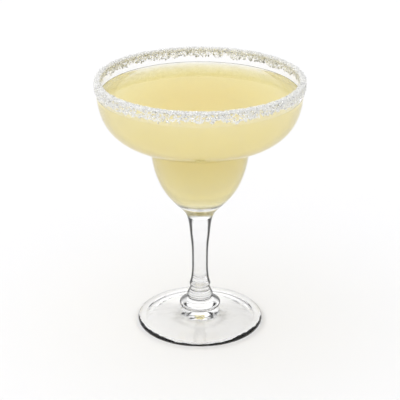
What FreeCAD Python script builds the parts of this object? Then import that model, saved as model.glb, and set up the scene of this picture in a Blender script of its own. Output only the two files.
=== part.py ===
"""A margarita in its salted stemmed glass, in millimetres, +Z up, standing on z = 0 about the Z axis.

Three separate pieces, each one solid:
  glass     one blown piece: wide upper bowl, narrower lower bowl, stem, moulded base and round foot
  drink     the cocktail, from the inside of both bowls up to its level
  salt_rim  the crust of salt that covers the rim, out to its uneven outline
"""

import FreeCAD, Part
import math
import os
import random

# Overall sizes.
overall_height = 143.0
rim_diameter = 110.8
foot_diameter = 70.0

# Upper bowl: an upright side that turns in to a nearly flat underside, down to the crease.
upper_bowl_depth = 35.9
side_depth = 4.0
underside_angle = 11.0
wall = 1.9
lip_round_share = 0.42

# Lower bowl: it hangs from the crease, tapers and rounds in to the stem.
crease_diameter = 54.2
crease_round = 1.6
inner_crease_round = 3.2
lower_bowl_depth = 39.3
lower_bowl_taper = 4.0
bowl_end_diameter = 19.0
bowl_end_angle = 50.0
bottom_rise = 5.0
neck_wall = 2.1

# Stem, from the bowl down to the flare at its end.
flare_length = 13.4
stem_top_diameter = 11.2
stem_top_lean = 5.0
stem_waist_diameter = 8.9
stem_waist_share = 0.559
stem_end_diameter = 11.6
stem_end_lean = 20.0

# Moulded base of the stem, from the top down: edge of the stem's flare, neck, collar, cove and plinth.
stem_edge = 1.3
base_neck_diameter = 10.6
collar_diameter = 14.2
collar_rise = 5.0
collar_edge = 1.2
cove_diameter = 13.6
cove_rise = 4.3
plinth_diameter = 22.7
plinth_edge = 1.5
plinth_foot_diameter = 22.2

# Foot: a shallow cone with a full-round edge, hollowed underneath so that it stands on a flat ring.
foot_edge_thickness = 3.2
foot_centre_thickness = 9.6
foot_join_diameter = 19.6
foot_join_drop = 1.0
foot_edge_slope = 7.0
foot_join_slope = 20.0
rest_ring_width = 2.6
underside_hollow = 4.2
hollow_edge_slope = 20.0

# Drink.
fill_below_rim = 8.0

# Salt crust round the rim.
salt_clearance = 0.05
salt_thickness = 1.35
salt_cap = 0.95
salt_inner_thickness = 0.75
salt_inner_drop = 1.5
salt_drop = 5.6
salt_drop_change = 0.9
salt_unevenness = 0.45
salt_facets = 120
salt_seed = 7

# How full each free curve is, as a share of its span: 0.55 is a quarter of an ellipse.
round_fullness = 0.55
side_fullness = 0.634
underside_fullness = 0.675
lower_side_fullness = 0.68
lower_end_fullness = 0.42
inner_side_fullness = 0.56
bottom_fullness = 0.62
joint_fullness = 1.15
flare_fullness = 0.43
stem_top_fullness = 0.33
waist_top_fullness = 0.59
waist_end_fullness = 0.24
stem_end_fullness = 0.32
edge_fullness = 0.4
cove_fullness = 0.45
cove_end_fullness = 0.3
foot_fullness = 0.36
hollow_edge_fullness = 0.275

# The headings, counted from outwards (0) towards up (90), at which the mouldings are left and reached.
under_heading = 220
cove_heading = 275
collar_heading = 290
plinth_heading = 300
return_heading = 250

# Heights that follow from the sizes above.
crease_height = overall_height - upper_bowl_depth
turn_height = overall_height - side_depth
bowl_end_height = crease_height - lower_bowl_depth
stem_top_height = bowl_end_height - flare_length
drink_height = overall_height - fill_below_rim
cove_height = foot_centre_thickness + plinth_edge
collar_height = cove_height + cove_rise
base_neck_height = collar_height + collar_edge + collar_rise
stem_end_height = base_neck_height + stem_edge
rim_radius = rim_diameter / 2
crease_radius = crease_diameter / 2
foot_radius = foot_diameter / 2


def at(radius, height):
    """A point of the outline."""
    return FreeCAD.Vector(radius, 0, height)


def heading(degrees):
    """A direction in the outline's plane, counted from outwards (0) towards up (90)."""
    turn = math.radians(degrees)
    return FreeCAD.Vector(math.cos(turn), 0, math.sin(turn))


def line(start, end):
    return Part.LineSegment(start, end).toShape()


def curve(start, leave, leave_pull, end, arrive, arrive_pull):
    """A smooth edge that leaves start and reaches end along two headings, pulled by two lengths."""
    path = Part.BezierCurve()
    path.setPoles([start, start + heading(leave) * leave_pull, end - heading(arrive) * arrive_pull, end])
    return path.toShape()


def turned(edges):
    """The solid that a closed outline sweeps about the Z axis."""
    face = Part.Face(Part.Wire(edges))
    return face.revolve(FreeCAD.Vector(0, 0, 0), FreeCAD.Vector(0, 0, 1), 360)


def bowl_edges(side_radius, floor_height, neck_radius, neck_round):
    """The upper bowl and its crease, from the top of the side down to the start of the lower bowl."""
    side_top = at(side_radius, overall_height)
    side_end = at(side_radius, turn_height)
    floor_end = at(neck_radius + neck_round, floor_height)
    neck_start = at(neck_radius, floor_height - neck_round)
    inwards = 180 + underside_angle
    down = 270 - lower_bowl_taper
    return [
        line(side_top, side_end),
        curve(
            side_end, 270, side_fullness * (turn_height - floor_height),
            floor_end, inwards, underside_fullness * (side_radius - neck_radius - neck_round),
        ),
        curve(floor_end, inwards, round_fullness * neck_round, neck_start, down, round_fullness * neck_round),
    ]


def base_edges():
    """The moulded base of the stem, from the end of the stem down to the top of the foot."""
    stem_end = at(stem_end_diameter / 2, stem_end_height)
    neck = at(base_neck_diameter / 2, base_neck_height)
    collar_side = at(collar_diameter / 2, collar_height + collar_edge)
    collar_end = at(cove_diameter / 2, collar_height)
    plinth_side = at(plinth_diameter / 2, cove_height)
    plinth_end = at(plinth_foot_diameter / 2, foot_centre_thickness)
    edge_pull = edge_fullness * stem_edge
    collar_pull = edge_fullness * collar_edge
    plinth_pull = edge_fullness * plinth_edge
    return [
        curve(stem_end, collar_heading, edge_pull, neck, under_heading, edge_pull),
        curve(
            neck, cove_heading, cove_fullness * collar_rise,
            collar_side, collar_heading, cove_end_fullness * collar_rise,
        ),
        curve(collar_side, collar_heading, collar_pull, collar_end, under_heading, collar_pull),
        curve(
            collar_end, cove_heading, cove_fullness * cove_rise,
            plinth_side, plinth_heading, edge_fullness * cove_rise,
        ),
        curve(plinth_side, collar_heading, plinth_pull, plinth_end, return_heading, plinth_pull),
        line(plinth_end, foot_join()),
    ]


def foot_join():
    """Where the foot's top starts, tucked in under the plinth."""
    return at(foot_join_diameter / 2, foot_centre_thickness - foot_join_drop)


def foot_edges():
    """The foot, from its join with the stem's base over the edge and in under it to the axis."""
    edge_radius = foot_edge_thickness / 2
    rim_in = foot_radius - edge_radius
    top_end = at(rim_in, foot_edge_thickness)
    ring_in = at(rim_in - rest_ring_width, 0)
    span = rim_in - foot_join_diameter / 2
    hollow_top = at(0, underside_hollow)
    return [
        curve(
            foot_join(), -foot_join_slope, foot_fullness * span,
            top_end, -foot_edge_slope, foot_fullness * span,
        ),
        Part.Arc(top_end, at(foot_radius, edge_radius), at(rim_in, 0)).toShape(),
        line(at(rim_in, 0), ring_in),
        curve(
            ring_in, 180 - hollow_edge_slope, hollow_edge_fullness * ring_in.x,
            hollow_top, 180, round_fullness * ring_in.x,
        ),
    ]


def blank():
    """The glass before its bowls are hollowed."""
    bowl = bowl_edges(rim_radius, crease_height, crease_radius, crease_round)
    neck = at(crease_radius, crease_height - crease_round)
    bowl_end = at(bowl_end_diameter / 2, bowl_end_height)
    stem_top = at(stem_top_diameter / 2, stem_top_height)
    stem_length = stem_top_height - stem_end_height
    above = stem_length * stem_waist_share
    below = stem_length - above
    stem_waist = at(stem_waist_diameter / 2, stem_top_height - above)
    stem_end = at(stem_end_diameter / 2, stem_end_height)
    stem = [
        curve(
            neck, 270 - lower_bowl_taper, lower_side_fullness * (neck.z - bowl_end.z),
            bowl_end, 180 + bowl_end_angle, lower_end_fullness * (neck.x - bowl_end.x),
        ),
        curve(
            bowl_end, 180 + bowl_end_angle, joint_fullness * (bowl_end.x - stem_top.x),
            stem_top, 270 - stem_top_lean, flare_fullness * flare_length,
        ),
        curve(
            stem_top, 270 - stem_top_lean, stem_top_fullness * above,
            stem_waist, 270, waist_top_fullness * above,
        ),
        curve(
            stem_waist, 270, waist_end_fullness * below,
            stem_end, 270 + stem_end_lean, stem_end_fullness * below,
        ),
    ]
    top = at(0, overall_height)
    close = [line(at(0, underside_hollow), top), line(top, at(rim_radius, overall_height))]
    return turned(bowl + stem + base_edges() + foot_edges() + close)


def hollow():
    """The space inside both bowls, up to the rim."""
    inner_radius = rim_radius - wall
    neck_radius = crease_radius - neck_wall
    floor_height = crease_height + wall
    bowl = bowl_edges(inner_radius, floor_height, neck_radius, inner_crease_round)
    neck = at(neck_radius, floor_height - inner_crease_round)
    bottom = at(0, bowl_end_height + bottom_rise)
    lower = curve(
        neck, 270 - lower_bowl_taper, inner_side_fullness * (neck.z - bottom.z),
        bottom, 180, bottom_fullness * neck.x,
    )
    top = at(0, overall_height)
    return turned(bowl + [lower, line(bottom, top), line(top, at(inner_radius, overall_height))])


def slab(low, high, radius):
    return Part.makeCylinder(radius, high - low, at(0, low))


def make_glass():
    """The blank, hollowed, with its lip rounded."""
    glass = blank().cut(hollow())
    lip = [
        edge for edge in glass.Edges
        if edge.BoundBox.ZMin > overall_height - 0.01 and edge.BoundBox.XMax > rim_radius - wall - 0.01
    ]
    return glass.makeFillet(lip_round_share * wall, lip)


def make_drink():
    """What the bowls hold, up to the level."""
    return hollow().common(slab(0, drink_height, rim_radius))


def smooth_noise(rng, count, reach):
    """Values between 0 and 1 round a ring, each one a mean of its neighbours up to reach steps away."""
    raw = [rng.random() for _ in range(count)]
    mean = [sum(raw[(i + k) % count] for k in range(-reach, reach + 1)) / (2 * reach + 1) for i in range(count)]
    low, high = min(mean), max(mean)
    return [(value - low) / (high - low) for value in mean]


def make_salt():
    """The crust: one closed faceted ring over the lip, thicker and longer outside than inside."""
    rng = random.Random(salt_seed)
    lumps = smooth_noise(rng, salt_facets, 1)
    drops = smooth_noise(rng, salt_facets, 3)
    outer = rim_radius + salt_clearance
    inner = rim_radius - wall - salt_clearance
    rings = []
    for i in range(salt_facets):
        turn = 2 * math.pi * i / salt_facets
        # The four widest places are left full, so that the crust is as wide along X as along Y.
        loss = salt_unevenness * lumps[i] * abs(math.sin(2 * turn)) ** 0.5
        thick = salt_thickness * (1 - loss)
        cap = salt_cap * (1 - loss)
        drop = salt_drop + salt_drop_change * (2 * drops[i] - 1)
        section = [
            (outer, -drop),
            (outer + 0.45 * thick, -drop + 0.3),
            (outer + 0.9 * thick, -0.6 * drop),
            (outer + thick, -0.3 * drop),
            (outer + 0.75 * thick, 0.25 * cap),
            (outer - 0.1 * wall, cap),
            (inner + 0.2 * wall, 0.95 * cap),
            (inner - salt_inner_thickness, -0.2 * salt_inner_drop),
            (inner, -salt_inner_drop),
            (inner, salt_clearance),
            (outer, salt_clearance),
        ]
        rings.append([
            FreeCAD.Vector(r * math.cos(turn), r * math.sin(turn), overall_height + z) for r, z in section
        ])
    return Part.Solid(Part.Shell(ring_facets(rings)))


def ring_facets(rings):
    """Triangles that join each closed section of a ring to the next."""
    facets = []
    for here, ahead in zip(rings, rings[1:] + rings[:1]):
        for a, b, c, d in zip(here, here[1:] + here[:1], ahead[1:] + ahead[:1], ahead):
            for corners in ([a, b, c], [a, c, d]):
                facets.append(Part.Face(Part.makePolygon(corners + corners[:1])))
    return facets


def save(name, shape):
    solid = shape.Solids[0]
    if solid.Volume < 0:
        solid.reverse()
    solid.exportStep(f"parts/{name}.step")
    print(name, "solids", len(shape.Solids), "valid", solid.isValid(), "mm3", round(solid.Volume))


os.makedirs("parts", exist_ok=True)
save("glass", make_glass())
save("drink", make_drink())
save("salt_rim", make_salt())
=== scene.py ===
"""Looks of a margarita in its salted stemmed glass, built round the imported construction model.

Lengths in the classes are in millimetres, as a glassmaker gives them. MM turns them into Blender's metres.
"""

import logging
import math
from dataclasses import dataclass, field
from enum import Enum

import bpy
import numpy as np
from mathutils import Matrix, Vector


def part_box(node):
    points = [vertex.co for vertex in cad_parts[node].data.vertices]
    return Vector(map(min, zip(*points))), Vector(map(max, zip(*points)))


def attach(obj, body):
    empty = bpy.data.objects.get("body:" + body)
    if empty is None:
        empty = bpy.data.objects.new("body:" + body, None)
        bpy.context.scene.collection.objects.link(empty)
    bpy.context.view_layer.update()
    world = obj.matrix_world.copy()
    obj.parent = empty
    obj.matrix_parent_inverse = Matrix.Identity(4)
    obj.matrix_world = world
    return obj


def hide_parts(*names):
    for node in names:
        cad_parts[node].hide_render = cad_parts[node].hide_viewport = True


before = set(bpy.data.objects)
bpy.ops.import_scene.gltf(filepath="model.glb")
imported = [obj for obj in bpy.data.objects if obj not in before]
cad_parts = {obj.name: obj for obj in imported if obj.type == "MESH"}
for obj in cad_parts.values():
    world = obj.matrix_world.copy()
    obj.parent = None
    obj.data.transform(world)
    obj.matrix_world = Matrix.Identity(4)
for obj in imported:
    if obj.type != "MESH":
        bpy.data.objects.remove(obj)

MM = 0.001
log = logging.getLogger("margarita")

Point = tuple[float, float]
Outline = list[Point]
Colour = tuple[float, float, float]


def heading(degrees: float) -> np.ndarray:
    """A direction in an outline's plane, counted from outwards (0) towards up (90)."""
    turn = math.radians(degrees)
    return np.array([math.cos(turn), math.sin(turn)])


def bend(
    start: Point, leave: float, leave_pull: float,
    end: Point, arrive: float, arrive_pull: float, steps: int,
) -> Outline:
    """A smooth stretch of an outline, without its start point.

    Args:
        start: Radius and height where it starts.
        leave: Heading on which it leaves, in degrees.
        leave_pull: How far that heading pulls it.
        end: Radius and height where it ends.
        arrive: Heading on which it arrives, in degrees.
        arrive_pull: How far that heading pulls it.
        steps: How many points it gets.

    Returns:
        The points after the start, up to the end.
    """
    poles = [
        np.array(start), np.array(start) + heading(leave) * leave_pull,
        np.array(end) - heading(arrive) * arrive_pull, np.array(end),
    ]
    points = []
    for i in range(1, steps + 1):
        t = i / steps
        weights = ((1 - t) ** 3, 3 * (1 - t) ** 2 * t, 3 * (1 - t) * t ** 2, t ** 3)
        point = sum(w * p for w, p in zip(weights, poles))
        points.append((float(point[0]), float(point[1])))
    return points


def straight(start: Point, end: Point, steps: int) -> Outline:
    """A straight stretch of an outline, without its start point.

    Args:
        start: Radius and height where it starts.
        end: Radius and height where it ends.
        steps: How many points it gets.

    Returns:
        The points after the start, up to the end.
    """
    return [
        (start[0] + (end[0] - start[0]) * i / steps, start[1] + (end[1] - start[1]) * i / steps)
        for i in range(1, steps + 1)
    ]


def add_mesh(name: str, points: np.ndarray, faces: list, smooth: bool) -> bpy.types.Object:
    """Adds a mesh to the scene.

    Args:
        name: The piece's name.
        points: Corners in millimetres, one row each.
        faces: The corners of each face.
        smooth: Whether its faces are shaded smooth.

    Returns:
        The new object.
    """
    mesh = bpy.data.meshes.new(name)
    mesh.from_pydata((points * MM).tolist(), [], faces)
    mesh.polygons.foreach_set("use_smooth", [smooth] * len(mesh.polygons))
    mesh.update()
    piece = bpy.data.objects.new(name, mesh)
    bpy.context.scene.collection.objects.link(piece)
    return piece


def spin(name: str, outline: Outline, turns: int) -> bpy.types.Object:
    """Turns an outline that starts and ends on the Z axis into a closed smooth piece.

    Args:
        name: The piece's name.
        outline: Radius and height of each point, outside on the way up and inside on the way down.
        turns: How many faces go round.

    Returns:
        The new object.
    """
    angles = 2 * np.pi * np.arange(turns) / turns
    rings = [
        np.column_stack([r * np.cos(angles), r * np.sin(angles), np.full(turns, z)]) for r, z in outline[1:-1]
    ]
    poles = np.array([[0.0, 0.0, outline[0][1]], [0.0, 0.0, outline[-1][1]]])
    points = np.vstack(rings + [poles])
    first_pole = len(points) - 2
    last_pole = len(points) - 1
    last_ring = (len(rings) - 1) * turns
    faces = []
    for ring in range(len(rings) - 1):
        low = ring * turns
        high = low + turns
        faces += [(low + i, low + (i + 1) % turns, high + (i + 1) % turns, high + i) for i in range(turns)]
    faces += [(first_pole, (i + 1) % turns, i) for i in range(turns)]
    faces += [(last_pole, last_ring + i, last_ring + (i + 1) % turns) for i in range(turns)]
    return add_mesh(name, points, faces, smooth=True)


def ring_noise(rng: np.random.Generator, count: int, reach: int) -> np.ndarray:
    """Values from 0 to 1 round a ring, each one a mean of its neighbours.

    Args:
        rng: Where the chance comes from.
        count: How many values go round.
        reach: How many neighbours on each side count.

    Returns:
        The values.
    """
    raw = rng.random(count)
    mean = sum(np.roll(raw, k) for k in range(-reach, reach + 1))
    return (mean - mean.min()) / (mean.max() - mean.min())


class Nodes:
    """The nodes of a material or of the studio's light, added by short calls."""

    def __init__(self, owner: bpy.types.ID, output: str = "OutputMaterial") -> None:
        """Starts with only the output.

        Args:
            owner: The material or world that the nodes make.
            output: The output node's type, without ShaderNode.
        """
        owner.use_nodes = True
        self.owner = owner
        self.tree = owner.node_tree
        self.tree.nodes.clear()
        self.output = self.tree.nodes.new("ShaderNode" + output)

    @classmethod
    def finish_called(cls, name: str) -> "Nodes":
        """Starts a new material."""
        return cls(bpy.data.materials.new(name))

    def add(self, kind: str, **values: object) -> bpy.types.Node:
        """Adds a node.

        Args:
            kind: The node's type, without ShaderNode.
            values: Input names, with underscores for spaces, and what they are set to or linked from.

        Returns:
            The new node.
        """
        node = self.tree.nodes.new("ShaderNode" + kind)
        for name, value in values.items():
            self.put(node.inputs[name.replace("_", " ")], value)
        return node

    def put(self, socket: bpy.types.NodeSocket, value: object) -> None:
        """Sets a socket, or links it where the value is another node's output.

        Args:
            socket: The input to set.
            value: A plain value, or the output to link from.
        """
        if isinstance(value, bpy.types.NodeSocket):
            self.tree.links.new(value, socket)
        else:
            socket.default_value = value

    def place(self) -> bpy.types.NodeSocket:
        """The point's place on the piece, in metres."""
        return self.add("TexCoord").outputs["Object"]

    def ramp(self, factor: bpy.types.NodeSocket, stops: list[tuple[float, Colour]]) -> bpy.types.NodeSocket:
        """A smooth run of colours.

        Args:
            factor: What picks the colour, from 0 to 1.
            stops: Where each colour stands, and the colour.

        Returns:
            The colour's socket.
        """
        node = self.add("ValToRGB", Fac=factor)
        elements = node.color_ramp.elements
        while len(elements) < len(stops):
            elements.new(0.5)
        for element, (at, colour) in zip(elements, stops):
            element.position = at
            element.color = (*colour, 1.0)
        return node.outputs["Color"]

    def bump(self, height: bpy.types.NodeSocket, strength: float, distance: float) -> bpy.types.NodeSocket:
        """A bumped normal.

        Args:
            height: What gives the height.
            strength: How much of the bump shows.
            distance: The depth of the bump, in millimetres.

        Returns:
            The normal's socket.
        """
        node = self.add("Bump", Height=height, Strength=strength, Distance=distance * MM)
        return node.outputs["Normal"]

    def finish(self, surface: bpy.types.NodeSocket) -> bpy.types.ID:
        """Joins the surface to the output and gives the material or world."""
        self.put(self.output.inputs["Surface"], surface)
        return self.owner


@dataclass(frozen=True)
class ClearGlass:
    """Polished glass with slight waves in its surface, and painted shade that darkens its colour where the
    eye skims along it.
    """

    name: str
    face_on: float
    # Painted edge shade: the colour painted where the surface turns edge-on to the eye, and where on the
    # facing ramp it starts and is full.
    painted_edge_shade: Colour
    edge_from: float
    edge_to: float
    bends: float = 1.5
    wave: float = 9.0
    wave_depth: float = 0.02
    wave_strength: float = 0.15

    def material(self) -> bpy.types.Material:
        """Builds the finish.

        Returns:
            The material.
        """
        nodes = Nodes.finish_called(self.name)
        weight = nodes.add("LayerWeight", Blend=0.5)
        # Painted shade: the base colour runs from the face-on tint to the painted edge colour as the surface
        # turns away from the eye, standing in for dark surroundings seen in the glass.
        stops = [(self.edge_from, (self.face_on,) * 3), (self.edge_to, self.painted_edge_shade)]
        noise = nodes.add("TexNoise", Vector=nodes.place(), Scale=1 / (self.wave * MM), Detail=1.0)
        normal = nodes.bump(noise.outputs["Fac"], self.wave_strength, self.wave_depth)
        shader = nodes.add(
            "BsdfPrincipled", Base_Color=nodes.ramp(weight.outputs["Facing"], stops), Roughness=0.0,
            IOR=self.bends, Transmission_Weight=1.0, Normal=normal,
        )
        return nodes.finish(shader.outputs["BSDF"])


class Zone(Enum):
    """The zones of the glass from the foot up, each by the height in millimetres at which it ends."""

    FOOT = 9.0
    BASE = 23.0
    STEM = 64.0
    JOINT = 70.0
    BOWL = 134.0
    RIM = math.inf

    @classmethod
    def number_at(cls, height: float) -> int:
        """How many zones lie wholly below a height, which is the number of the zone there."""
        return sum(height > zone.value for zone in cls)

    def finish(self) -> ClearGlass:
        """The zone's own glass: clear round the rim, with dark painted shade along its edges in the stem,
        wavy in the pressed foot.

        Returns:
            The finish.
        """
        # Painted shade for the edges: black in the base and stem, dark grey-green in the foot, dark olive in
        # the joint, paler in the bowl, near white at the rim.
        dark = (0.0, 0.0, 0.0)
        return {
            Zone.FOOT: ClearGlass(
                "foot glass", 0.96, (0.3, 0.34, 0.32), 0.75, 0.95, wave=5.0, wave_depth=0.8,
            ),
            Zone.BASE: ClearGlass("base glass", 0.9, dark, 0.45, 0.6),
            Zone.STEM: ClearGlass("stem glass", 0.93, dark, 0.36, 0.47),
            Zone.JOINT: ClearGlass("joint glass", 0.8, (0.15, 0.14, 0.05), 0.35, 0.7),
            Zone.BOWL: ClearGlass("bowl glass", 1.0, (0.5, 0.48, 0.36), 0.55, 1.0),
            Zone.RIM: ClearGlass("rim glass", 1.0, (0.95, 0.95, 0.95), 0.8, 1.0),
        }[self]


@dataclass(frozen=True)
class CloudyDrink:
    """A clear drink with fine pulp in it, so that it is cloudy and pale yellow through its depth."""

    bends: float = 1.34
    pulp: float = 95.0
    yellow: Colour = (0.945, 0.845, 0.0)
    depth: float = 33.0

    def material(self) -> bpy.types.Material:
        """Builds the finish.

        Returns:
            The material.
        """
        nodes = Nodes.finish_called("cloudy drink")
        shader = nodes.add(
            "BsdfPrincipled", Base_Color=(1.0, 1.0, 1.0, 1.0), Roughness=0.0, IOR=self.bends,
            Transmission_Weight=1.0,
        )
        scatter = nodes.add("VolumeScatter", Color=(1.0, 1.0, 1.0, 1.0), Density=self.pulp)
        absorb = nodes.add("VolumeAbsorption", Color=(*self.yellow, 1.0), Density=self.depth)
        both = nodes.tree.nodes.new("ShaderNodeAddShader")
        nodes.put(both.inputs[0], scatter.outputs[0])
        nodes.put(both.inputs[1], absorb.outputs[0])
        nodes.put(nodes.output.inputs["Volume"], both.outputs[0])
        return nodes.finish(shader.outputs["BSDF"])


@dataclass(frozen=True)
class Salt:
    """Salt, from clear single grains to a white crust that light shines through."""

    name: str
    clear: float
    rough: float
    through: float
    colour: Colour = (0.99, 0.99, 0.985)
    dim_share: float = 0.95
    speck: float = 0.6
    speck_depth: float = 0.05

    def material(self) -> bpy.types.Material:
        """Builds the finish.

        Returns:
            The material.
        """
        nodes = Nodes.finish_called(self.name)
        noise = nodes.add("TexNoise", Vector=nodes.place(), Scale=1 / (self.speck * MM), Detail=2.0)
        dim = tuple(self.dim_share * c for c in self.colour)
        tint = nodes.ramp(noise.outputs["Fac"], [(0.3, dim), (0.6, self.colour)])
        normal = nodes.bump(noise.outputs["Fac"], 0.3, self.speck_depth)
        shader = nodes.add(
            "BsdfPrincipled", Base_Color=tint, Roughness=self.rough, IOR=1.54,
            Transmission_Weight=self.clear, Normal=normal,
        )
        glow = nodes.add("BsdfTranslucent", Color=tint, Normal=normal)
        both = nodes.tree.nodes.new("ShaderNodeMixShader")
        both.inputs[0].default_value = self.through
        nodes.put(both.inputs[1], shader.outputs["BSDF"])
        nodes.put(both.inputs[2], glow.outputs["BSDF"])
        return nodes.finish(both.outputs[0])


@dataclass
class BowlCurve:
    """The upper bowl and its crease, as the outside and the inside of the glass share it."""

    side_radius: float
    rim_height: float
    turn_height: float
    floor_height: float
    neck_radius: float
    neck_round: float
    floor_angle: float = 11.0
    taper: float = 4.0
    side_fullness: float = 0.634
    floor_fullness: float = 0.675
    round_fullness: float = 0.55

    def neck(self) -> Point:
        """Where the lower bowl starts."""
        return self.neck_radius, self.floor_height - self.neck_round

    def points(self) -> Outline:
        """The outline from the rim down to the neck, without the rim's own point.

        Returns:
            The outline.
        """
        turn = (self.side_radius, self.turn_height)
        floor_end = (self.neck_radius + self.neck_round, self.floor_height)
        inwards = 180 + self.floor_angle
        down = 270 - self.taper
        span = self.side_radius - floor_end[0]
        pull = self.round_fullness * self.neck_round
        return (
            straight((self.side_radius, self.rim_height), turn, 6)
            + bend(
                turn, 270, self.side_fullness * (self.turn_height - self.floor_height),
                floor_end, inwards, self.floor_fullness * span, 56,
            )
            + bend(floor_end, inwards, pull, self.neck(), down, pull, 14)
        )


@dataclass
class StemBase:
    """The moulded base of the stem: edge of the stem's flare, neck, collar, cove and plinth."""

    stem_radius: float = 5.8
    stem_edge: float = 1.3
    neck_radius: float = 5.3
    collar_radius: float = 7.1
    collar_rise: float = 5.0
    collar_edge: float = 1.2
    cove_radius: float = 6.8
    cove_rise: float = 4.3
    plinth_radius: float = 11.35
    plinth_edge: float = 1.5
    plinth_foot_radius: float = 11.1
    foot_top: float = 9.6
    join_radius: float = 9.8
    join_drop: float = 1.0
    edge_fullness: float = 0.4
    cove_fullness: float = 0.45
    cove_end_fullness: float = 0.3
    under_heading: float = 220.0
    return_heading: float = 250.0
    cove_heading: float = 275.0
    collar_heading: float = 290.0
    plinth_heading: float = 300.0

    @property
    def join(self) -> Point:
        """Where the foot's top starts, tucked in under the plinth."""
        return self.join_radius, self.foot_top - self.join_drop

    @property
    def top(self) -> Point:
        """The edge of the stem's flared end."""
        mouldings = self.plinth_edge + self.cove_rise + self.collar_edge + self.collar_rise + self.stem_edge
        return self.stem_radius, self.foot_top + mouldings

    def points(self) -> Outline:
        """The outline from the edge of the stem's flare down to the top of the foot.

        Returns:
            The outline.
        """
        cove_height = self.foot_top + self.plinth_edge
        collar_height = cove_height + self.cove_rise
        neck = (self.neck_radius, self.top[1] - self.stem_edge)
        collar = (self.collar_radius, collar_height + self.collar_edge)
        collar_end = (self.cove_radius, collar_height)
        plinth = (self.plinth_radius, cove_height)
        plinth_end = (self.plinth_foot_radius, self.foot_top)
        stem_pull = self.edge_fullness * self.stem_edge
        collar_pull = self.edge_fullness * self.collar_edge
        plinth_pull = self.edge_fullness * self.plinth_edge
        points: Outline = []
        stretches = [
            (self.top, self.collar_heading, stem_pull, neck, self.under_heading, stem_pull),
            (
                neck, self.cove_heading, self.cove_fullness * self.collar_rise,
                collar, self.collar_heading, self.cove_end_fullness * self.collar_rise,
            ),
            (collar, self.collar_heading, collar_pull, collar_end, self.under_heading, collar_pull),
            (
                collar_end, self.cove_heading, self.cove_fullness * self.cove_rise,
                plinth, self.plinth_heading, self.edge_fullness * self.cove_rise,
            ),
            (plinth, self.collar_heading, plinth_pull, plinth_end, self.return_heading, plinth_pull),
        ]
        for start, leave, leave_pull, end, arrive, arrive_pull in stretches:
            points += bend(start, leave, leave_pull, end, arrive, arrive_pull, 14)
        return points + straight(plinth_end, self.join, 3)


@dataclass
class Foot:
    """The foot: a shallow cone with a full-round edge, hollowed underneath, standing on a flat ring."""

    radius: float
    join: Point
    edge_radius: float = 1.6
    join_slope: float = 20.0
    edge_slope: float = 7.0
    top_fullness: float = 0.36
    ring_width: float = 2.6
    hollow_height: float = 4.2
    hollow_slope: float = 20.0
    hollow_edge_fullness: float = 0.275
    hollow_top_fullness: float = 0.55

    def points(self) -> Outline:
        """The outline from the moulded base out over the edge and in underneath to the axis.

        Returns:
            The outline.
        """
        edge = self.edge_radius
        inner = self.radius - edge
        top_pull = self.top_fullness * (inner - self.join[0])
        ring_in = (inner - self.ring_width, 0.0)
        top = bend(
            self.join, -self.join_slope, top_pull, (inner, 2 * edge), -self.edge_slope, top_pull, 40
        )
        round_edge = [
            (inner + edge * math.sin(turn), edge + edge * math.cos(turn))
            for turn in np.linspace(0, np.pi, 25)[1:]
        ]
        ring = straight((inner, 0.0), ring_in, 3)
        hollow = bend(
            ring_in, 180 - self.hollow_slope, self.hollow_edge_fullness * ring_in[0],
            (0.0, self.hollow_height), 180, self.hollow_top_fullness * ring_in[0], 40,
        )
        return top + round_edge + ring + hollow


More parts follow.
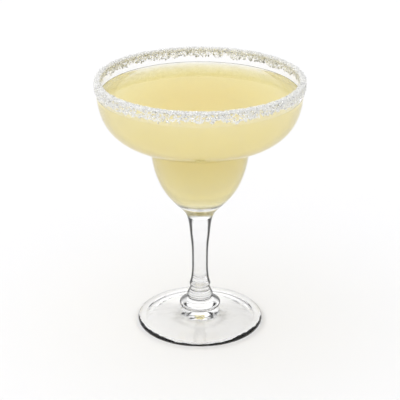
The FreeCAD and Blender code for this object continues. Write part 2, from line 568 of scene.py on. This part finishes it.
@dataclass
class StemGlass:
    """The glass: two bowls, stem, moulded base and foot, in one piece."""

    height: float
    rim_radius: float
    foot_radius: float
    wall: float = 1.9
    neck_wall: float = 2.1
    side_depth: float = 4.0
    upper_depth: float = 35.9
    crease_radius: float = 27.1
    crease_round: float = 1.6
    inner_crease_round: float = 3.2
    lower_depth: float = 39.3
    taper: float = 4.0
    bowl_end_radius: float = 9.5
    bowl_end_angle: float = 50.0
    inner_bottom: float = 72.8
    flare_length: float = 13.4
    stem_top_radius: float = 5.6
    stem_top_lean: float = 5.0
    stem_waist_radius: float = 4.45
    stem_waist_height: float = 36.8
    stem_end_lean: float = 20.0
    lower_side_fullness: float = 0.68
    lower_end_fullness: float = 0.42
    inner_side_fullness: float = 0.56
    bottom_fullness: float = 0.62
    joint_fullness: float = 1.15
    flare_fullness: float = 0.43
    stem_top_fullness: float = 0.33
    waist_top_fullness: float = 0.59
    waist_end_fullness: float = 0.24
    stem_end_fullness: float = 0.32
    turns: int = 172
    base: StemBase = field(default_factory=StemBase)

    def inside_curve(self) -> BowlCurve:
        """The inside of the upper bowl.

        Returns:
            The curve, with its own sizes.
        """
        return BowlCurve(
            self.rim_radius - self.wall, self.height, self.height - self.side_depth,
            self.height - self.upper_depth + self.wall, self.crease_radius - self.neck_wall,
            self.inner_crease_round,
        )

    def inside(self) -> Outline:
        """The whole inside, from the rim down to the bottom on the axis.

        Returns:
            The outline.
        """
        curve = self.inside_curve()
        neck = curve.neck()
        bottom = (0.0, self.inner_bottom)
        return curve.points() + bend(
            neck, 270 - self.taper, self.inner_side_fullness * (neck[1] - bottom[1]),
            bottom, 180, self.bottom_fullness * neck[0], 64,
        )

    def stem_top(self) -> Point:
        """Where the joint under the lower bowl ends and the stem starts."""
        return self.stem_top_radius, self.height - self.upper_depth - self.lower_depth - self.flare_length

    def bowls(self) -> Outline:
        """The outside of both bowls, from the rim down to the top of the stem.

        Returns:
            The outline.
        """
        floor = self.height - self.upper_depth
        curve = BowlCurve(
            self.rim_radius, self.height, self.height - self.side_depth,
            floor, self.crease_radius, self.crease_round,
        )
        neck = curve.neck()
        end = (self.bowl_end_radius, floor - self.lower_depth)
        stem_top = self.stem_top()
        return (
            curve.points()
            + bend(
                neck, 270 - self.taper, self.lower_side_fullness * (neck[1] - end[1]),
                end, 180 + self.bowl_end_angle, self.lower_end_fullness * (neck[0] - end[0]), 56,
            )
            + bend(
                end, 180 + self.bowl_end_angle, self.joint_fullness * (end[0] - stem_top[0]),
                stem_top, 270 - self.stem_top_lean, self.flare_fullness * self.flare_length, 36,
            )
        )

    def stem(self) -> Outline:
        """The stem, from its top down to the edge of its flared end.

        Returns:
            The outline.
        """
        top = self.stem_top()
        end = self.base.top
        waist = (self.stem_waist_radius, self.stem_waist_height)
        above = top[1] - waist[1]
        below = waist[1] - end[1]
        return (
            bend(
                top, 270 - self.stem_top_lean, self.stem_top_fullness * above,
                waist, 270, self.waist_top_fullness * above, 28,
            )
            + bend(
                waist, 270, self.waist_end_fullness * below,
                end, 270 + self.stem_end_lean, self.stem_end_fullness * below, 28,
            )
        )

    def lip(self) -> Outline:
        """The rounded lip, from the inside of the wall over to the outside.

        Returns:
            The outline.
        """
        half = self.wall / 2
        middle = self.rim_radius - half
        return [
            (middle - half * math.cos(turn), self.height - half + half * math.sin(turn))
            for turn in np.linspace(0, np.pi, 17)
        ]

    def build(self) -> bpy.types.Object:
        """Builds the glass and dresses it.

        Returns:
            The glass.
        """
        top = self.height - self.wall / 2
        inside = [p for p in self.inside() if p[1] < top]
        outside = [p for p in self.bowls() if p[1] < top]
        foot = Foot(self.foot_radius, self.base.join)
        outline = (
            list(reversed(inside)) + self.lip() + outside + self.stem() + self.base.points() + foot.points()
        )
        piece = spin("stem_glass", list(reversed(outline)), self.turns)
        for zone in Zone:
            piece.data.materials.append(zone.finish().material())
        for face in piece.data.polygons:
            face.material_index = Zone.number_at(face.center.z / MM)
        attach(piece, "root")
        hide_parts("glass")
        return piece


@dataclass
class Drink:
    """What the bowls hold, with the thin curve that its surface makes up the wall."""

    glass: StemGlass
    level: float
    reach: float = 0.15
    climb: float = 0.25
    climb_width: float = 0.6
    surface_rings: int = 60
    edge_crowding: float = 2.2

    def surface(self, radius: float) -> float:
        """The height of the surface at a radius."""
        edge = self.glass.rim_radius - self.glass.wall
        return self.level + self.climb * math.exp((radius - edge) / self.climb_width)

    def skin(self) -> Outline:
        """The skin against the glass, just inside the wall, from the waterline down to the bottom.

        Returns:
            The outline.
        """
        inside = self.glass.inside()
        points: Outline = []
        for before, here, after in zip(inside, inside[1:], inside[2:]):
            run = np.array(after) - np.array(before)
            outwards = np.array([-run[1], run[0]]) / np.linalg.norm(run)
            point = np.array(here) + outwards * self.reach
            if point[1] < self.level:
                points.append((float(point[0]), float(point[1])))
        return points + [(0.0, self.glass.inner_bottom - self.reach)]

    def build(self) -> bpy.types.Object:
        """Builds the drink, its surface's rings closer together towards the wall, and dresses it.

        Returns:
            The drink.
        """
        edge = self.glass.rim_radius - self.glass.wall + self.reach
        radii = edge * (1 - np.linspace(1, 0, self.surface_rings) ** self.edge_crowding)
        top = [(float(r), self.surface(float(r))) for r in radii]
        outline = top + straight(top[-1], self.skin()[0], 3)[:-1] + self.skin()
        piece = spin("margarita", list(reversed(outline)), self.glass.turns)
        piece.data.materials.append(CloudyDrink().material())
        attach(piece, "root")
        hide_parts("drink")
        return piece


@dataclass(frozen=True)
class GrainSort:
    """One sort of grain: how many there are, their smallest and largest side, and their finish."""

    name: str
    count: int
    smallest: float
    largest: float
    finish: Salt


@dataclass
class SaltRim:
    """The crust of salt: a thin core on the rim and the grains that stick to it."""

    glass: StemGlass
    clearance: float = 0.02
    thickness: float = 1.35
    cap: float = 0.9
    inner_thickness: float = 0.7
    inner_drop: float = 1.5
    drop: float = 4.9
    drop_change: float = 0.7
    tooth: float = 1.5
    thinnest: float = 0.65
    core_share: float = 0.5
    core_drop: float = 0.8
    grain_share: float = 0.62
    grain_reach: float = 1.05
    grain_smallness: float = 1.6
    grain_dent: float = 0.13
    segments: int = 720
    seed: int = 7
    rng: np.random.Generator = field(init=False)
    drops: np.ndarray = field(init=False)
    lumps: np.ndarray = field(init=False)

    def __post_init__(self) -> None:
        """Draws the uneven lower edge and lumps."""
        self.rng = np.random.default_rng(self.seed)
        wide = ring_noise(self.rng, self.segments, 14)
        small = ring_noise(self.rng, self.segments, 2)
        self.drops = self.drop + self.drop_change * (2 * wide - 1) + self.tooth * (2 * small - 1)
        self.lumps = self.thinnest + (1 - self.thinnest) * ring_noise(self.rng, self.segments, 4)

    def section(self, drop: np.ndarray, share: np.ndarray) -> list[tuple[np.ndarray, np.ndarray]]:
        """The crust's outline across the rim.

        Args:
            drop: How far it hangs down outside, at each place round the rim.
            share: How thick it is there, as a share of the full thickness.

        Returns:
            Radius and height of each point, at each place, from low outside over the lip to inside.
        """
        outer = self.glass.rim_radius
        inner = outer - self.glass.wall
        around = np.ones(self.segments)
        thick = self.thickness * share
        cap = self.cap * share
        return [
            ((outer + self.clearance) * around, -drop),
            (outer + 0.5 * thick, -0.93 * drop),
            (outer + 0.85 * thick, -0.7 * drop),
            (outer + thick, -0.4 * drop),
            (outer + 0.95 * thick, -0.15 * drop),
            (outer + 0.6 * thick, 0.4 * cap),
            ((outer - 0.15 * self.glass.wall) * around, cap),
            ((inner + 0.25 * self.glass.wall) * around, 0.95 * cap),
            (inner - 0.6 * self.inner_thickness * share, 0.3 * cap),
            (inner - self.inner_thickness * share, -0.35 * self.inner_drop * around),
            ((inner - self.clearance) * around, -self.inner_drop * around),
        ]

    def build_core(self) -> bpy.types.Object:
        """Builds the thin core.

        Returns:
            The core.
        """
        outer = self.glass.rim_radius + self.clearance
        inner = self.glass.rim_radius - self.glass.wall - self.clearance
        around = np.ones(self.segments)
        outline = self.section(self.core_drop * around, self.core_share * self.lumps)
        outline += [(inner * around, self.clearance * around), (outer * around, self.clearance * around)]
        angles = 2 * np.pi * np.arange(self.segments) / self.segments
        rings = [
            np.column_stack([r * np.cos(angles), r * np.sin(angles), self.glass.height + z])
            for r, z in outline
        ]
        count = len(rings)
        n = self.segments
        faces = [
            (a * n + i, a * n + (i + 1) % n, ((a + 1) % count) * n + (i + 1) % n, ((a + 1) % count) * n + i)
            for a in range(count) for i in range(n)
        ]
        piece = add_mesh("salt_core", np.vstack(rings), faces, smooth=True)
        piece.data.materials.append(Salt("packed salt", 0.0, 0.5, 0.65).material())
        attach(piece, "root")
        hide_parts("salt_rim")
        return piece

    def scatter(self, sort: GrainSort) -> tuple[np.ndarray, np.ndarray]:
        """Draws the places of one sort of grain on the crust, and the grains' sides.

        Grains keep inside the crust's own outline, out to its widest place and up to its top.

        Args:
            sort: The sort of grain.

        Returns:
            The grains' sides, and their centres in millimetres, one row each.
        """
        rng = self.rng
        outline = self.section(self.drops, self.grain_share * self.lumps)
        radii = np.array([r for r, _ in outline])
        heights = np.array([z for _, z in outline])
        lengths = np.hypot(np.diff(radii, axis=0), np.diff(heights, axis=0)).mean(axis=1)
        along = np.concatenate([[0], np.cumsum(lengths)])
        place = rng.random(sort.count) * along[-1]
        step = np.clip(np.searchsorted(along, place) - 1, 0, len(lengths) - 1)
        part = (place - along[step]) / lengths[step]
        spot = rng.integers(0, self.segments, sort.count)
        turn = 2 * np.pi * (spot + rng.random(sort.count)) / self.segments
        radius = radii[step, spot] * (1 - part) + radii[step + 1, spot] * part
        height = heights[step, spot] * (1 - part) + heights[step + 1, spot] * part
        side = sort.smallest + (sort.largest - sort.smallest) * rng.random(sort.count) ** self.grain_smallness
        reach = self.grain_reach * side
        radius = np.minimum(radius, self.glass.rim_radius + self.thickness - reach)
        height = np.minimum(height, self.cap - reach)
        centre = [radius * np.cos(turn), radius * np.sin(turn), self.glass.height + height]
        return side, np.column_stack(centre)

    def cubes(self, side: np.ndarray) -> np.ndarray:
        """Draws the grains' shapes: uneven cubes, each turned its own way.

        Args:
            side: The grains' sides.

        Returns:
            The eight corners of each grain about its own centre.
        """
        rng = self.rng
        count = len(side)
        cube = np.array([[x, y, z] for x in (-0.5, 0.5) for y in (-0.5, 0.5) for z in (-0.5, 0.5)])
        corners = cube[None] * (0.75 + 0.5 * rng.random((count, 1, 3)))
        corners = corners + self.grain_dent * (rng.random((count, 8, 3)) - 0.5)
        corners *= side[:, None, None]
        spins = rng.normal(size=(count, 4))
        spins /= np.linalg.norm(spins, axis=1)[:, None]
        return np.einsum("nij,nkj->nki", self.rotations(spins), corners)

    def build_grains(self, sort: GrainSort) -> bpy.types.Object:
        """Scatters one sort of grain over the core.

        Args:
            sort: The sort of grain.

        Returns:
            The grains, joined in one piece.
        """
        side, centre = self.scatter(sort)
        points = (self.cubes(side) + centre[:, None]).reshape(-1, 3)
        box = [(0, 1, 3, 2), (4, 6, 7, 5), (0, 4, 5, 1), (2, 3, 7, 6), (0, 2, 6, 4), (1, 5, 7, 3)]
        faces = [tuple(8 * grain + corner for corner in face) for grain in range(sort.count) for face in box]
        piece = add_mesh(sort.name, points, faces, smooth=False)
        piece.data.materials.append(sort.finish.material())
        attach(piece, "root")
        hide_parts("salt_rim")
        return piece

    @staticmethod
    def rotations(spins: np.ndarray) -> np.ndarray:
        """Turns unit quaternions into rotation matrices.

        Args:
            spins: One unit quaternion a row.

        Returns:
            One matrix for each of them.
        """
        w, x, y, z = spins.T
        rows = [
            [1 - 2 * (y * y + z * z), 2 * (x * y - z * w), 2 * (x * z + y * w)],
            [2 * (x * y + z * w), 1 - 2 * (x * x + z * z), 2 * (y * z - x * w)],
            [2 * (x * z - y * w), 2 * (y * z + x * w), 1 - 2 * (x * x + y * y)],
        ]
        return np.stack([np.stack(row, -1) for row in rows], -2)


@dataclass
class Studio:
    """The pale floor, the soft light and the camera.

    The open sky stands in front and behind, the side sky to the left and right. Each one runs from level, 0,
    to overhead, 1.
    """

    floor_size: float = 3000.0
    floor_gap: float = 0.03
    floor_shade: Colour = (0.855, 0.855, 0.87)
    open_sky: tuple = ((0.0, 1.2), (0.2, 1.2), (0.28, 0.8), (0.4, 0.75), (0.6, 1.0), (1.0, 1.1))
    side_sky: tuple = ((0.0, 0.05), (0.2, 0.15), (0.45, 0.8), (0.75, 1.1), (1.0, 1.2))
    side_from: float = 0.45
    side_to: float = 0.8
    sky_strength: float = 1.25
    lean_left: float = 0.3
    distance: float = 728.8
    camera_height: float = 384.2
    pitch: float = 23.13
    sensor: float = 36.0
    focal_share: float = 3.606

    def build_floor(self) -> bpy.types.Object:
        """Builds the floor.

        Returns:
            The floor.
        """
        half = self.floor_size / 2
        low = -self.floor_gap
        corners = np.array([[-half, -half, low], [half, -half, low], [half, half, low], [-half, half, low]])
        floor = add_mesh("floor", corners, [(0, 1, 2, 3)], smooth=False)
        nodes = Nodes.finish_called("floor")
        shader = nodes.add("BsdfDiffuse", Color=(*self.floor_shade, 1.0))
        floor.data.materials.append(nodes.finish(shader.outputs["BSDF"]))
        return floor

    def light(self) -> None:
        """Surrounds the object with soft light, dim low at the sides and a bit stronger from the left."""
        nodes = Nodes(bpy.data.worlds.new("studio"), "OutputWorld")
        split = nodes.add("SeparateXYZ", Vector=nodes.add("TexCoord").outputs["Generated"])
        across, up = split.outputs["X"], split.outputs["Z"]
        skies = [
            nodes.ramp(up, [(at, (shade,) * 3) for at, shade in shades])
            for shades in (self.open_sky, self.side_sky)
        ]
        size = nodes.add("Math")
        size.operation = "ABSOLUTE"
        nodes.put(size.inputs[0], across)
        side = nodes.add("MapRange", Value=size.outputs[0], From_Min=self.side_from, From_Max=self.side_to)
        side.interpolation_type = "SMOOTHSTEP"
        mix = nodes.tree.nodes.new("ShaderNodeMix")
        mix.data_type = "RGBA"
        for socket, value in zip((0, 6, 7), (side.outputs["Result"], *skies)):
            nodes.put(mix.inputs[socket], value)
        strength = nodes.add(
            "MapRange", Value=across, From_Min=-1.0, To_Min=self.sky_strength * (1 + self.lean_left),
            To_Max=self.sky_strength * (1 - self.lean_left),
        )
        background = nodes.add("Background", Color=mix.outputs[2], Strength=strength.outputs["Result"])
        bpy.context.scene.world = nodes.finish(background.outputs[0])

    def shoot(self) -> bpy.types.Object:
        """Sets up the camera, level from side to side and looking down on the glass.

        Returns:
            The camera.
        """
        data = bpy.data.cameras.new("camera")
        data.sensor_width = self.sensor
        data.lens = self.focal_share * self.sensor
        data.clip_end = 20.0
        camera = bpy.data.objects.new("camera", data)
        camera.location = (0.0, -self.distance * MM, self.camera_height * MM)
        camera.rotation_euler = (math.radians(90 - self.pitch), 0.0, 0.0)
        scene = bpy.context.scene
        scene.collection.objects.link(camera)
        scene.camera = camera
        scene.view_settings.view_transform = "Standard"
        # Light that reaches a dull face through glass keeps its full strength.
        scene.cycles.blur_glossy = 0.0
        scene.cycles.max_bounces = 32
        scene.cycles.diffuse_bounces = 12
        scene.cycles.transmission_bounces = 24
        scene.cycles.volume_bounces = 24
        return camera


def main() -> None:
    """Builds every piece round the frame, in order, and reports each one."""
    logging.basicConfig(level=logging.INFO, format="%(name)s: %(message)s")
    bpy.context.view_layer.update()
    low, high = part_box("glass")
    glass = StemGlass(height=high[2] / MM, rim_radius=high[0] / MM, foot_radius=35.0)
    log.info("glass %.1f mm high", glass.height)
    report(glass.build())
    report(Drink(glass, level=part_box("drink")[1][2] / MM).build())
    salt = SaltRim(glass)
    report(salt.build_core())
    report(salt.build_grains(GrainSort("coarse_grains", 1000, 0.5, 1.0, Salt("clear salt", 0.5, 0.1, 0.3))))
    report(salt.build_grains(GrainSort("fine_grains", 7500, 0.35, 0.85, Salt("white salt", 0.0, 0.6, 0.5))))
    studio = Studio()
    studio.build_floor()
    studio.light()
    studio.shoot()


def report(piece: bpy.types.Object) -> None:
    """Logs a piece's name and how many faces it has."""
    log.info("%s: %d faces", piece.name, len(piece.data.polygons))


if __name__ == "__main__":
    main()
